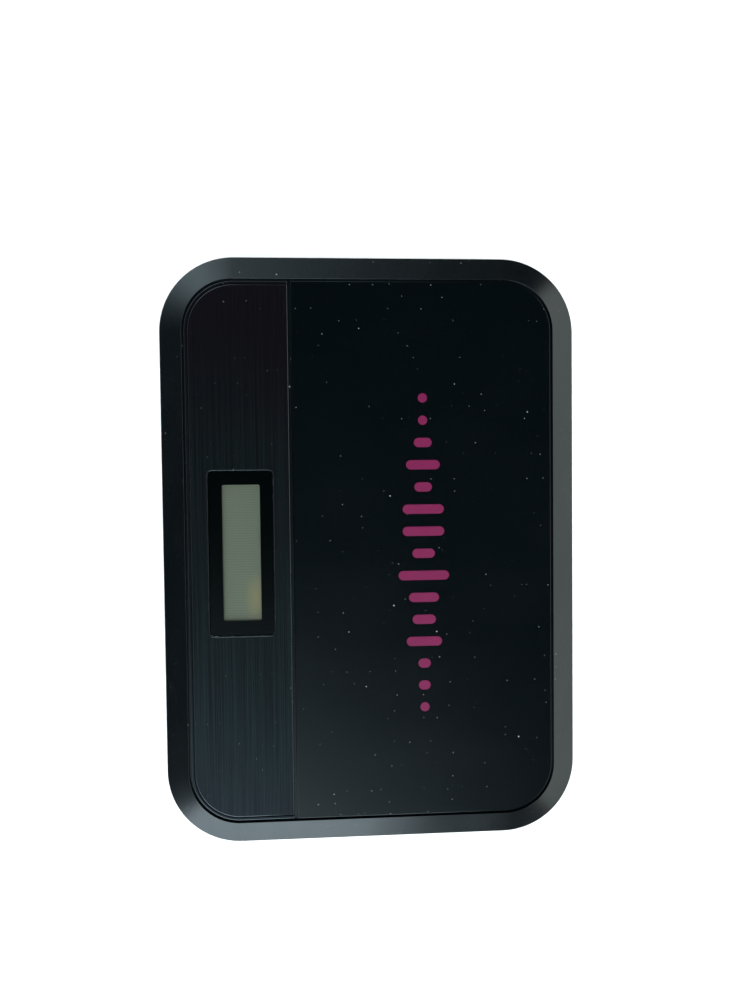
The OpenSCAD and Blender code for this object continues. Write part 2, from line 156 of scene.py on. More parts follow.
def block(name, low, high):
    """A cube primitive from corner to corner, its place in its mesh."""
    bpy.ops.object.select_all(action="DESELECT")
    low, high = Vector(low), Vector(high)
    bpy.ops.mesh.primitive_cube_add(size=1.0, location=(low + high) / 2, scale=high - low)
    piece = bpy.context.object
    piece.name = name
    bpy.ops.object.transform_apply(location=True, rotation=True, scale=True)
    return piece


def rod(name, centre, radius, low, high, axis=Z, steps=32):
    """A cylinder primitive along an axis between two levels."""
    bpy.ops.object.select_all(action="DESELECT")
    place = Vector(centre)
    place[axis] = (low + high) / 2
    turn = {X: (0, math.pi / 2, 0), Y: (math.pi / 2, 0, 0), Z: (0, 0, 0)}[axis]
    bpy.ops.mesh.primitive_cylinder_add(vertices=steps, radius=radius, depth=high - low,
                                        location=place, rotation=turn)
    piece = bpy.context.object
    piece.name = name
    bpy.ops.object.transform_apply(location=True, rotation=True, scale=True)
    return piece


def edit(piece, kind):
    """Edit mode with nothing picked."""
    only(piece)
    bpy.ops.object.mode_set(mode="EDIT")
    bpy.ops.mesh.select_mode(type=kind)
    bpy.ops.mesh.select_all(action="DESELECT")


def leave_edit():
    """Back to object mode."""
    bpy.ops.object.mode_set(mode="OBJECT")


def pick(piece, kind, wanted):
    """Picks the faces, by middle and normal, or the edges, by their ends, that pass a test."""
    edit(piece, kind)
    mesh = bmesh.from_edit_mesh(piece.data)
    if kind == "FACE":
        chosen = [f for f in mesh.faces if wanted(f.calc_center_median(), f.normal)]
    else:
        chosen = [e for e in mesh.edges if wanted(e.verts[0].co, e.verts[1].co)]
    for part in chosen:
        part.select_set(True)
    bmesh.update_edit_mesh(piece.data)
    if not chosen:
        raise RuntimeError(f"{piece.name}: nothing to pick")


def near(a, b):
    """Whether two levels are the same, to within rounding."""
    return abs(a - b) < 2e-6


def bevel_picked(width, steps):
    """Rounds the picked edges and leaves edit mode."""
    bpy.ops.mesh.bevel(offset_type="OFFSET", offset=width, segments=steps, profile=0.5,
                       affect="EDGES", clamp_overlap=False)
    leave_edit()


def soften(piece, wanted, width, steps=3):
    """Bevels the edges that pass a test."""
    pick(piece, "EDGE", wanted)
    bevel_picked(width, steps)


def at_level(axis, level):
    """A test for edges that lie in one plane."""
    return lambda a, b: near(a[axis], level) and near(b[axis], level)


def rounded_block(name, low, high, radius, axis=Z, steps=16, corners=None):
    """A block whose edges along one axis are rounded, or those of them that pass a test."""
    piece = block(name, low, high)
    others = [i for i in (X, Y, Z) if i != axis]

    def along(a, b):
        if not all(near(a[i], b[i]) for i in others):
            return False
        return corners is None or corners(a)

    soften(piece, along, radius, steps)
    return piece


def spread(low, high, reach, bottom, top):
    """Two corners between two levels, a reach outside two others in X and Y."""
    return (low.x - reach, low.y - reach, bottom), (high.x + reach, high.y + reach, top)


def case_slab(name, sizes, drawn_in, bottom, top, steps=24):
    """A slab with the case's own outline, drawn in all round."""
    return rounded_block(name, *spread(LOW, HIGH, -drawn_in, bottom, top), sizes.corner_radius - drawn_in,
                         steps=steps)


def facing(axis, level, sign):
    """A test for flat faces at one level that look along an axis."""
    return lambda middle, normal: near(middle[axis], level) and normal[axis] * sign > 0.99


def inset(piece, wanted, thickness, depth=0.0):
    """Insets the faces that pass a test, and moves them along their normal."""
    pick(piece, "FACE", wanted)
    bpy.ops.mesh.inset(thickness=thickness, depth=depth, use_even_offset=True, use_boundary=True)
    leave_edit()


def push(piece, wanted, move):
    """Extrudes the faces that pass a test."""
    pick(piece, "FACE", wanted)
    bpy.ops.mesh.extrude_region_move(TRANSFORM_OT_translate={"value": move})
    leave_edit()


def frame_ring(name, low, high, radius, width, edge):
    """A rounded frame: a block whose top and bottom are inset and bridged, with soft top edges."""
    low, high = Vector(low), Vector(high)
    ring = rounded_block(name, low, high, radius, steps=8)
    middle = (low + high) / 2
    inset(ring, facing(Z, high.z, 1), width)
    inset(ring, facing(Z, low.z, -1), width)
    pick(ring, "FACE", lambda centre, normal: (centre.xy - middle.xy).length < width
         and abs(normal.z) > 0.99)
    bpy.ops.mesh.bridge_edge_loops()
    leave_edit()
    soften_rims(ring, high.z, edge, 3)
    return ring


def soften_rims(piece, level, width, steps):
    """Bevels the edges at one level that have an upright wall under them."""
    edit(piece, "EDGE")
    mesh = bmesh.from_edit_mesh(piece.data)
    for edge in mesh.edges:
        has_wall = any(abs(face.normal.z) < 0.5 for face in edge.link_faces)
        edge.select_set(has_wall and all(near(vert.co.z, level) for vert in edge.verts))
    bmesh.update_edit_mesh(piece.data)
    bevel_picked(width, steps)


def combine(piece, other, how):
    """Cuts, joins or keeps what two closed shapes share, and removes the second one."""
    only(piece)
    bpy.ops.object.modifier_add(type="BOOLEAN")
    step = piece.modifiers[-1]
    step.operation = how
    step.solver = "EXACT"
    step.object = other
    bpy.ops.object.modifier_apply(modifier=step.name)
    bpy.data.objects.remove(other, do_unlink=True)


def cut(piece, other):
    combine(piece, other, "DIFFERENCE")


def fuse(piece, other):
    combine(piece, other, "UNION")


def tidy_mesh(piece):
    """Merges doubles and turns every face outwards."""
    edit(piece, "VERT")
    bpy.ops.mesh.select_all(action="SELECT")
    bpy.ops.mesh.remove_doubles(threshold=1e-7)
    bpy.ops.mesh.normals_make_consistent(inside=False)
    leave_edit()


def shade(piece, angle=32):
    """Smooth shading up to an angle, with flat faces kept flat beside their soft edges."""
    only(piece)
    bpy.ops.object.shade_smooth_by_angle(angle=math.radians(angle))
    bpy.ops.object.modifier_add(type="WEIGHTED_NORMAL")
    step = piece.modifiers[-1]
    step.keep_sharp = True
    bpy.ops.object.modifier_apply(modifier=step.name)


def finish_piece(piece, body, slot, material, *nodes):
    """Shades a finished piece, gives it its material, hangs it on the body it rides on and hides the nodes
    it stands for.
    """
    tidy_mesh(piece)
    shade(piece)
    piece.data.materials.clear()
    piece.data.materials.append(material)
    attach(piece, body)
    if nodes:
        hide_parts(*nodes)


def polish_edges(piece, level, material):
    """Gives the rounded edges above a level a second finish."""
    piece.data.materials.append(material)
    pick(piece, "FACE", lambda middle, normal: middle.z > level and 0.05 < normal.z < 0.985)
    piece.active_material_index = 1
    bpy.ops.object.material_slot_assign()
    leave_edit()


# ---- Materials ----

def calculate(tree, operation, first, second):
    """A maths node on two values, each a number or a socket."""
    made = tree.nodes.new("ShaderNodeMath")
    made.operation = operation
    for socket, value in zip(made.inputs, (first, second)):
        if isinstance(value, (int, float)):
            socket.default_value = value
        else:
            tree.links.new(value, socket)
    return made.outputs["Value"]


class Finish:
    """A procedural material that reads Object coordinates in metres."""

    def __init__(self, name, base, roughness, metallic=0.0):
        self.material = bpy.data.materials.new(name)
        self.material.use_nodes = True
        self.tree = self.material.node_tree
        self.shader = self.tree.nodes["Principled BSDF"]
        self.shader.inputs["Base Color"].default_value = (*base, 1.0)
        self.shader.inputs["Roughness"].default_value = roughness
        self.shader.inputs["Metallic"].default_value = metallic
        self.place = self.tree.nodes.new("ShaderNodeTexCoord").outputs["Object"]
        self.heights = []

    def node(self, kind, **settings):
        made = self.tree.nodes.new(kind)
        for key, value in settings.items():
            setattr(made, key, value)
        return made

    def link(self, source, target):
        self.tree.links.new(source, target)

    def mapped(self, stretch=(1, 1, 1), turn=(0, 0, 0), shift=(0, 0, 0)):
        """Object coordinates moved, turned and stretched."""
        mapping = self.node("ShaderNodeMapping")
        mapping.inputs["Location"].default_value = shift
        mapping.inputs["Rotation"].default_value = turn
        mapping.inputs["Scale"].default_value = stretch
        self.link(self.place, mapping.inputs["Vector"])
        return mapping.outputs["Vector"]

    def noise(self, grain, detail=3.0, stretch=(1, 1, 1), rough=0.5):
        """Noise whose grains are about one size, in metres."""
        made = self.node("ShaderNodeTexNoise")
        made.inputs["Scale"].default_value = 1.0 / grain
        made.inputs["Detail"].default_value = detail
        made.inputs["Roughness"].default_value = rough
        self.link(self.mapped(stretch), made.inputs["Vector"])
        return made.outputs["Fac"]

    def remap(self, value, low, high, to_low, to_high):
        made = self.node("ShaderNodeMapRange", clamp=True)
        for key, number in (("From Min", low), ("From Max", high), ("To Min", to_low), ("To Max", to_high)):
            made.inputs[key].default_value = number
        self.link(value, made.inputs["Value"])
        return made.outputs["Result"]

    def math(self, operation, first, second):
        return calculate(self.tree, operation, first, second)

    def blend(self, factor, first, second):
        """A colour between two colours, each a tuple or a socket."""
        made = self.node("ShaderNodeMix", data_type="RGBA", clamp_factor=True)
        self.link(factor, made.inputs["Factor"])
        for socket, value in ((made.inputs[6], first), (made.inputs[7], second)):
            if isinstance(value, tuple):
                socket.default_value = (*value, 1.0)
            else:
                self.link(value, socket)
        return made.outputs[2]

    def paint(self, colour_socket):
        self.link(colour_socket, self.shader.inputs["Base Color"])

    def gloss(self, roughness_socket):
        self.link(roughness_socket, self.shader.inputs["Roughness"])

    def raise_by(self, value, depth):
        """Adds a height, in metres, to the bump."""
        self.heights.append(self.math("MULTIPLY", value, depth))

    def looking_up(self):
        """1 where the surface looks up, 0 on the sides."""
        normal = self.node("ShaderNodeSeparateXYZ")
        self.link(self.node("ShaderNodeNewGeometry").outputs["Normal"], normal.inputs["Vector"])
        return self.remap(normal.outputs["Z"], 0.6, 0.9, 0.0, 1.0)

    def specks(self, cell, radius, share, turn=0.0, stretch=1.0, shift=(0, 0, 0)):
        """Sparse specks: one in some of the cells, longer than wide if stretched."""
        made = self.node("ShaderNodeTexVoronoi", voronoi_dimensions="2D", feature="F1")
        made.inputs["Scale"].default_value = 1.0 / cell
        vector = self.mapped((1.0 / stretch, 1.0, 1.0), (0, 0, turn), shift)
        self.link(vector, made.inputs["Vector"])
        chance = self.node("ShaderNodeSeparateColor")
        self.link(made.outputs["Color"], chance.inputs["Color"])
        reach = self.remap(chance.outputs["Red"], 1.0 - share, 1.0, 0.0, radius / cell)
        depth = self.math("SUBTRACT", reach, made.outputs["Distance"])
        return self.remap(depth, 0.0, 0.25 * radius / cell, 0.0, 1.0)

    def done(self):
        """Joins the heights into one bump and returns the material."""
        if self.heights:
            total = self.heights[0]
            for height in self.heights[1:]:
                total = self.math("ADD", total, height)
            bump = self.node("ShaderNodeBump")
            bump.inputs["Distance"].default_value = 1.0
            bump.inputs["Strength"].default_value = 1.0
            self.link(total, bump.inputs["Height"])
            self.link(bump.outputs["Normal"], self.shader.inputs["Normal"])
        return self.material


def with_dust(finish, base_socket, dust, grey=(0.30, 0.33, 0.34)):
    """Lays dust specks and lint on a colour."""
    specks = finish.specks(5.0 * MM, 0.135 * MM, 0.16 * dust)
    grains = finish.specks(2.2 * MM, 0.075 * MM, 0.20 * dust, shift=(0.013, 0.007, 0))
    lint = finish.specks(9.0 * MM, 0.05 * MM, 0.10 * dust, turn=0.7, stretch=9.0)
    both = finish.math("MAXIMUM", finish.math("MAXIMUM", specks, grains), lint)
    amount_up = finish.math("MULTIPLY", both, finish.looking_up())
    return finish.blend(amount_up, base_socket, grey), amount_up


def satin_case(finishes):
    """Fine-textured satin plastic with faint wipe marks."""
    base = tuple(finishes.case)
    f = Finish("satin_case", base, 0.28)
    mottled = f.blend(f.noise(6 * MM), base, tuple(c * 1.35 for c in base))
    dusty, dust = with_dust(f, mottled, finishes.dust * 0.6)
    f.paint(dusty)
    wipe = f.remap(f.noise(9 * MM, 4.0, (0.4, 1, 1)), 0.35, 0.7, 0.24, 0.31)
    f.gloss(f.math("MAXIMUM", wipe, f.math("MULTIPLY", dust, 0.8)))
    f.raise_by(f.noise(0.22 * MM, 2.0), 1.2e-6)
    return f.done()


def panel_black(finishes):
    """Smooth semi-gloss panel with hair scratches, dust and handling haze."""
    base = tuple(finishes.panel)
    f = Finish("panel_black", base, 0.22)
    haze = f.blend(f.noise(14 * MM), base, tuple(c * 1.2 for c in base))
    scratches = f.math("MAXIMUM",
                       f.specks(11 * MM, 0.022 * MM, 0.10, turn=0.35, stretch=22.0),
                       f.specks(13 * MM, 0.022 * MM, 0.08, turn=-1.1, stretch=26.0, shift=(0.02, 0.01, 0)))
    scuffed = f.blend(f.math("MULTIPLY", scratches, 0.5), haze, (0.10, 0.11, 0.11))
    dusty, dust = with_dust(f, scuffed, finishes.dust)
    f.paint(dusty)
    smear = f.remap(f.noise(11 * MM, 4.0, (1, 0.5, 1)), 0.35, 0.7, 0.20, 0.25)
    f.gloss(f.math("MAXIMUM", smear, f.math("MULTIPLY", dust, 0.8)))
    f.raise_by(f.noise(0.35 * MM, 2.0), 0.5e-6)
    return f.done()


def brushed_strip(finishes, spacing):
    """Hairline brushing along X on a dark plate, with a painted reflection: lighter blue-green round the
    window and towards +X, darker purple at the -X end.
    """
    base = tuple(finishes.strip)
    f = Finish("brushed_strip", base, 0.3, metallic=0.88)
    fine = f.noise(spacing, 2.0, (0.003, 1, 1), 0.6)
    broad = f.noise(spacing * 4, 2.0, (0.006, 1, 1), 0.6)
    lines = f.math("ADD", f.math("MULTIPLY", fine, 0.8), f.math("MULTIPLY", broad, 0.2))
    tone = f.remap(lines, 0.38, 0.62, 0.0, 1.0)
    along = f.node("ShaderNodeSeparateXYZ")
    f.link(f.place, along.inputs["Vector"])
    # Painted reflection: the plate is painted lighter and blue-green round the window and towards +X, where
    # the bluish light's reflection falls, and darker purple towards the -X end; the noise patches are
    # random tone.
    patches = f.remap(f.noise(22 * MM), 0.4, 0.6, -0.2, 0.2)
    rise = f.remap(along.outputs["X"], -36 * MM, -16 * MM, 0.0, 1.0)
    fall = f.remap(along.outputs["X"], 12 * MM, 46 * MM, 1.0, 0.6)
    hue_and_painted_reflection = f.math("ADD", f.math("MINIMUM", rise, fall), patches)
    shaded_violet = (base[0] * 1.3, base[1] * 0.95, base[2] * 1.1)
    lit_teal = (base[0] * 1.2, base[1] * 1.75, base[2] * 1.5)
    streaked_with_painted_light = f.blend(tone, tuple(c * 0.55 for c in base), f.blend(hue_and_painted_reflection, shaded_violet, lit_teal))
    dusty, dust = with_dust(f, streaked_with_painted_light, finishes.dust * 0.8)
    f.paint(dusty)
    f.gloss(f.math("MAXIMUM", f.remap(lines, 0.35, 0.65, 0.36, 0.26), f.math("MULTIPLY", dust, 0.8)))
    f.raise_by(lines, 9e-6)
    return f.done()


def plain_finish(name, base, roughness, metallic=0.0, grain=0.5, depth=1.5, vary=0.18, shine=0.5):
    """A moulded or stamped finish: uneven tone and gloss and a fine grain."""
    f = Finish(name, base, roughness, metallic)
    f.shader.inputs["Specular IOR Level"].default_value = shine
    darker = tuple(c * (1 - vary) for c in base)
    lighter = tuple(min(1.0, c * (1 + vary)) for c in base)
    f.paint(f.blend(f.noise(grain * 6 * MM), darker, lighter))
    f.gloss(f.remap(f.noise(grain * 9 * MM, 4.0), 0.3, 0.7, roughness * 0.85, min(1.0, roughness * 1.2)))
    f.raise_by(f.noise(grain * MM, 2.0), depth * 1e-6)
    return f.done()


def display_face(finishes):
    """Resting display: grey-green with faint row lines and a warm stain near one corner."""
    base = tuple(finishes.display)
    low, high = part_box("lcd_glass")
    f = Finish("display_face", base, 0.32)
    rows = f.node("ShaderNodeTexWave", wave_type="BANDS", bands_direction="X", wave_profile="SIN")
    rows.inputs["Scale"].default_value = 1.0 / (1.5 * MM)
    rows.inputs["Distortion"].default_value = 0.4
    f.link(f.place, rows.inputs["Vector"])
    lined = f.blend(f.remap(rows.outputs["Fac"], 0.0, 1.0, 0.0, 0.6), base, tuple(c * 0.72 for c in base))
    stain = f.node("ShaderNodeTexGradient", gradient_type="SPHERICAL")
    centre = Vector((high.x - 5.2 * MM, high.y - 2.3 * MM, high.z))
    reach = Vector((5.0 * MM, 2.2 * MM, 9.0 * MM))
    scale = Vector(1.0 / r for r in reach)
    f.link(f.mapped(scale, shift=[-c * s for c, s in zip(centre, scale)]), stain.inputs["Vector"])
    warm = f.math("MULTIPLY", stain.outputs["Fac"], 0.66)
    f.paint(f.blend(warm, lined, (0.22, 0.165, 0.08)))
    f.gloss(f.remap(f.noise(3 * MM), 0.3, 0.7, 0.28, 0.36))
    f.raise_by(f.noise(0.3 * MM, 2.0), 0.4e-6)
    return f.done()


def window_glass():
    """Clear pane: it lets light straight through and reflects at glancing angles."""
    f = Finish("window_glass", (0.01, 0.012, 0.012), 0.06)
    clear = f.node("ShaderNodeBsdfTransparent")
    clear.inputs["Color"].default_value = (0.92, 0.95, 0.93, 1.0)
    polish = f.node("ShaderNodeBsdfAnisotropic")
    f.link(f.remap(f.noise(5 * MM, 4.0), 0.3, 0.7, 0.04, 0.08), polish.inputs["Roughness"])
    facing_angle = f.node("ShaderNodeLayerWeight")
    facing_angle.inputs["Blend"].default_value = 0.5
    edge_on = f.math("POWER", facing_angle.outputs["Facing"], 5.0)
    mirror = f.math("ADD", f.math("MULTIPLY", edge_on, 0.97), 0.03)
    mix = f.node("ShaderNodeMixShader")
    f.link(mirror, mix.inputs["Fac"])
    f.link(clear.outputs["BSDF"], mix.inputs[1])
    f.link(polish.outputs["BSDF"], mix.inputs[2])
    f.link(mix.outputs["Shader"], f.tree.nodes["Material Output"].inputs["Surface"])
    f.tree.nodes.remove(f.shader)
    return f.material


def circuit_board():
    """Green solder mask over copper tracks that run along X and Y."""
    f = Finish("circuit_board", (0.012, 0.10, 0.035), 0.35)
    layout = f.node("ShaderNodeTexBrick", offset=0.37, squash=0.55, squash_frequency=3)
    for key, value in (("Scale", 1.0 / (2.4 * MM)), ("Mortar Size", 0.03), ("Mortar Smooth", 0.1),
                       ("Brick Width", 1.3), ("Row Height", 0.22)):
        layout.inputs[key].default_value = value
    f.link(f.place, layout.inputs["Vector"])
    tracks = layout.outputs["Fac"]
    f.paint(f.blend(tracks, (0.008, 0.075, 0.026), (0.03, 0.19, 0.06)))
    f.raise_by(tracks, 8e-6)
    f.gloss(f.remap(f.noise(4 * MM), 0.3, 0.7, 0.28, 0.42))
    return f.done()


# ---- Pieces ----

def finish_case(piece, body, slot, node):
    """Finishes one of the three satin case pieces."""
    finish_piece(piece, body, slot, satin_case(bpy.context.scene.hotspot_finish), node)


def case_wall_edges(axis, level, low, high):
    """A test for edges on an outer wall inside a window."""
    others = [i for i in (X, Y, Z) if i != axis]

    def inside(point):
        return near(point[axis], level) and all(low[i] - 1e-6 < point[i] < high[i] + 1e-6 for i in others)

    return lambda a, b: inside(a) and inside(b)


def mouth(piece, low, high, radius, axis, wall_level, edge, steps=10):
    """Cuts a rounded opening through a wall and softens its outer edge."""
    cut(piece, rounded_block("mouth", low, high, radius, axis, steps))
    soften(piece, case_wall_edges(axis, wall_level, low, high), edge, 3)


class HOTSPOT_OT_front_case(bpy.types.Operator):
    """Front housing with its sloped rim, seats and openings"""
    bl_idname = "hotspot.front_case"
    bl_label = "Front case"

    def execute(self, context):
        sizes = context.scene.hotspot_case
        seam = FRONT_LOW.z + SEAM_STEP
        rim_edge = HIGH.z - sizes.rim_drop
        case = case_slab("front_case", sizes, 0.0, seam, rim_edge, steps=32)
        inset(case, facing(Z, rim_edge, 1), sizes.rim_width, sizes.rim_drop)
        push(case, facing(Z, HIGH.z, 1), (0, 0, -sizes.seat_depth))
        inset(case, facing(Z, seam, -1), sizes.wall)
        push(case, self.middle_face(seam), (0, 0, SHOULDER - seam))
        inset(case, facing(Z, SHOULDER, -1), sizes.rim_width + 0.3 * MM - sizes.wall)
        push(case, self.middle_face(SHOULDER), (0, 0, CEILING - SHOULDER))
        soften(case, at_level(Z, rim_edge), sizes.edge, 4)
        soften(case, at_level(Z, HIGH.z), sizes.edge * 0.6, 3)
        soften(case, lambda a, b: at_level(Z, seam)(a, b) and self.on_outline(a) and self.on_outline(b),
               sizes.edge * 0.8, 3)
        self.add_lip(case, sizes, seam)
        self.add_bosses(case)
        self.open_window(case)
        self.open_side_buttons(case, sizes)
        self.open_long_side(case, sizes)
        finish_case(case, "root", "satin_black", "front_housing")
        return {"FINISHED"}

    @staticmethod
    def middle_face(level):
        """A test for the face in the middle of the underside at one level."""
        underside = facing(Z, level, -1)
        return lambda middle, normal: underside(middle, normal) and middle.xy.length < 1 * MM

    @staticmethod
    def on_outline(point):
        """Whether a point lies on the case's outermost outline."""
        radius = bpy.context.scene.hotspot_case.corner_radius
        over_x = max(abs(point.x) - (HIGH.x - radius), 0.0)
        over_y = max(abs(point.y) - (HIGH.y - radius), 0.0)
        if over_x and over_y:
            return math.hypot(over_x, over_y) > radius - 0.03 * MM
        return near(abs(point.x), HIGH.x) or near(abs(point.y), HIGH.y)

    def add_lip(self, case, sizes, seam):
        """The lip that stands in the rear housing, on a foot that joins the wall."""
        lip = case_slab("lip", sizes, sizes.wall + 0.1 * MM, FRONT_LOW.z, seam + 0.8 * MM)
        cut(lip, case_slab("inside", sizes, sizes.wall + 1.1 * MM, FRONT_LOW.z - MM, seam + 2 * MM))
        foot = case_slab("foot", sizes, sizes.wall - 0.2 * MM, seam + 0.1 * MM, seam + 0.8 * MM)
        cut(foot, case_slab("inside", sizes, sizes.wall + 1.1 * MM, seam - MM, seam + 2 * MM))
        fuse(lip, foot)
        fuse(case, lip)

    def add_bosses(self, case):
        """Bosses for the housing screws and posts for the board screws, each with its bore."""
        boss_radius, boss_foot = 2.3 * MM, 5.4 * MM
        boss_bore, bore_start, bore_end = 0.85 * MM, 5 * MM, 11.2 * MM
        post_radius, post_bore, post_bore_end = 1.9 * MM, 0.65 * MM, 11.9 * MM
        root = CEILING + 0.2 * MM
        for x, y in SCREW_PLACES:
            fuse(case, rod("boss", (x, y, 0), boss_radius, boss_foot, root))
            cut(case, rod("bore", (x, y, 0), boss_bore, bore_start, bore_end))
        for x, y in BOARD_POSTS:
            fuse(case, rod("post", (x, y, 0), post_radius, BOARD_HIGH.z, root))
            cut(case, rod("bore", (x, y, 0), post_bore, BOARD_HIGH.z - MM, post_bore_end))

    def open_window(self, case):
        """The seat of the lens and the opening over the display."""
        grow, margin, view_floor = 0.15 * MM, 0.3 * MM, 11.9 * MM
        pocket = spread(LENS_LOW, LENS_HIGH, grow, LENS_LOW.z - grow, HIGH.z)
        cut(case, rounded_block("pocket", *pocket, 0.8 * MM, steps=6))
        view = spread(*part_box("lcd_glass"), -margin, view_floor, HIGH.z)
        cut(case, rounded_block("view", *view, 0.5 * MM, steps=6))

    def open_side_buttons(self, case, sizes):
        """A mouth for each button, and a pocket behind it for the button's flange."""
        gap, pocket_reach = 0.15 * MM, 1.05 * MM
        pocket_floor, pocket_top = 2.36 * MM, 2.4 * MM
        for node, side in (("power_button", 1), ("pairing_button", -1)):
            low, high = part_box(node)
            middle = (low + high) / 2
            half_y = (high.y - low.y) / 2 - BUTTON_FLANGE_Y + gap
            half_z = (high.z - low.z) / 2 - BUTTON_FLANGE_Z + gap
            inner, outer = sorted((side * (HIGH.x - 3 * MM), side * (HIGH.x + MM)))
            mouth(case, (inner, middle.y - half_y, middle.z - half_z),
                  (outer, middle.y + half_y, middle.z + half_z),
                  half_z - 0.005 * MM, X, side * HIGH.x, sizes.mouth_edge)
            inner, outer = sorted((side * (HIGH.x - 3 * MM), side * (HIGH.x - sizes.wall)))
            cut(case, block("pocket", (inner, middle.y - half_y - pocket_reach, middle.z - pocket_floor),
                            (outer, middle.y + half_y + pocket_reach, middle.z + pocket_top)))

    def open_long_side(self, case, sizes):
        """The mouth of the charging port and the pinhole of the reset switch."""
        half_x, half_z = 4.25 * MM, 1.65 * MM
        inner, outer = HIGH.y - 3 * MM, HIGH.y + MM
        middle = (PORT_LOW + PORT_HIGH) / 2
        mouth(case, (-half_x, inner, middle.z - half_z), (half_x, outer, middle.z + half_z),
              1.0 * MM, Y, HIGH.y, sizes.mouth_edge)
        low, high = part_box("reset_plunger")
        cut(case, rod("hole", ((low.x + high.x) / 2, 0, (low.z + high.z) / 2), 0.7 * MM, inner, outer, Y))
        soften(case, case_wall_edges(Y, HIGH.y, low, high), sizes.mouth_edge / 2, 2)


class HOTSPOT_OT_rear_case(bpy.types.Operator):
    """Rear housing with the battery bay and the card recess"""
    bl_idname = "hotspot.rear_case"
    bl_label = "Rear case"

    def execute(self, context):
        sizes = context.scene.hotspot_case
        seam = FRONT_LOW.z + SEAM_STEP - SEAM_GAP
        floor = REAR_LOW.z
        deck = floor + sizes.deck
        case = case_slab("rear_case", sizes, 0.0, floor, seam, steps=32)
        for level in (seam, floor):
            soften(case, at_level(Z, level), sizes.edge * 0.8, 3)
        cut(case, case_slab("inside", sizes, sizes.wall, deck, seam + MM))
        self.shape_bay(case, floor)
        self.shape_card_recess(case, floor)
        self.shape_fastenings(case, floor, deck)
        finish_case(case, "root", "housing_black", "rear_housing")
        return {"FINISHED"}

    def shape_bay(self, case, floor):
        """The battery bay with its thumb notch and the way to the battery connector."""
        gap, wall, notch_radius = 0.4 * MM, 1.0 * MM, 7 * MM
        low = BATTERY_LOW - Vector((gap, gap, 0))
        high = BATTERY_HIGH + Vector((gap, gap, 0))
        top = REAR_HIGH.z - 0.45 * MM
        notch = (low.x, (low.y + high.y) / 2, 0)
        fuse(case, block("bay", *spread(low, high, wall, floor, top)))
        fuse(case, rod("notch_wall", notch, notch_radius + wall, floor, floor + 5 * MM, steps=48))
        cut(case, block("bay_inside", *spread(low, high, 0, floor - MM, top - 0.9 * MM)))
        cut(case, rod("notch", notch, notch_radius, floor - MM, floor + 4 * MM, steps=48))
        socket_low, socket_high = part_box("battery_connector")
        cut(case, block("socket_way", (high.x - 0.1 * MM, socket_low.y - 0.3 * MM, socket_low.z - 0.3 * MM),
                        (socket_high.x + MM, socket_high.y + 0.3 * MM, BOARD_LOW.z)))

    def shape_card_recess(self, case, floor):
        """The recess that the card slides along, open below and towards its socket."""
        gap, far_end, socket_end = 0.8 * MM, -28 * MM, 1.5 * MM
        low = Vector((far_end, CARD_LOW.y - gap, floor))
        high = Vector((socket_end, CARD_HIGH.y + gap, BOARD_LOW.z - 0.2 * MM))
        fuse(case, block("recess", low - Vector((gap, gap, 0)), high + Vector((gap, gap, 0))))
        cut(case, block("recess_inside", low - Vector((0, 0, MM)), high + Vector((0, 0, MM))))
        cut(case, block("card_way", (low.x, low.y, 7.1 * MM), (high.x + MM, high.y, BOARD_LOW.z)))

    def shape_fastenings(self, case, floor, deck):
        """Screw sleeves with head seats, and the slots and gates of the cover's hooks."""
        for x, y in SCREW_PLACES:
            fuse(case, rod("sleeve", (x, y, 0), 2.8 * MM, floor, floor + 3.3 * MM))
            cut(case, rod("bore", (x, y, 0), 0.95 * MM, floor - MM, floor + 5 * MM))
            cut(case, rod("head_seat", (x, y, 0), 1.75 * MM, floor - MM, floor + 1.1 * MM))
        low, high = floor - MM, deck + MM
        slot_half, gate_half = 0.7 * MM, 1.35 * MM
        for x, y in HOOK_PLACES:
            cut(case, block("slot", (x - 0.8 * MM, y - slot_half, low),
                            (x + 9 * MM, y + slot_half, high)))
            cut(case, block("gate", (x + 6.8 * MM, y - gate_half, low),
                            (x + 9.2 * MM, y + gate_half, high)))


class HOTSPOT_OT_battery_cover(bpy.types.Operator):
    """Sliding battery cover with its hooks and thumb grip"""
    bl_idname = "hotspot.battery_cover"
    bl_label = "Battery cover"

    def execute(self, context):
        sizes = context.scene.hotspot_case
        top = 1.7 * MM
        cover = case_slab("sliding_cover", sizes, 0.0, sizes.cover_slope, top, steps=32)
        inset(cover, facing(Z, sizes.cover_slope, -1), sizes.cover_taper, sizes.cover_slope)
        soften(cover, at_level(Z, sizes.cover_slope), sizes.edge * 2, 4)
        soften(cover, at_level(Z, top), sizes.edge * 0.8, 3)
        soften(cover, at_level(Z, 0.0), sizes.edge * 2, 4)
        self.cut_grip(cover)
        self.add_hooks(cover, top)
        finish_case(cover, "cover", "housing_black", "battery_cover")
        return {"FINISHED"}

    def cut_grip(self, cover):
        """Six shallow grooves for the thumb."""
        count, first, pitch, width, half_length, depth = 6, 34 * MM, 2 * MM, 0.9 * MM, 10 * MM, 0.35 * MM
        for step in range(count):
            low = Vector((first + step * pitch, -half_length, -MM))
            high = Vector((low.x + width, half_length, depth))
            cut(cover, rounded_block("groove", low, high, width / 2 - 0.01 * MM, steps=6))
            soften(cover, case_wall_edges(Z, 0.0, low, high), 0.12 * MM, 2)

    def add_hooks(self, cover, top):
        """Hooks that reach through the rear housing's slots, their toes over its floor."""
        for x, y in HOOK_PLACES:
            fuse(cover, block("stem", (x - 0.5 * MM, y - 0.45 * MM, top - 0.3 * MM),
                              (x + 0.5 * MM, y + 0.45 * MM, COVER_HIGH.z)))
            fuse(cover, block("toe", (x - 0.8 * MM, y - 1.1 * MM, COVER_HIGH.z - 0.7 * MM),
                              (x + 0.8 * MM, y + 1.1 * MM, COVER_HIGH.z)))


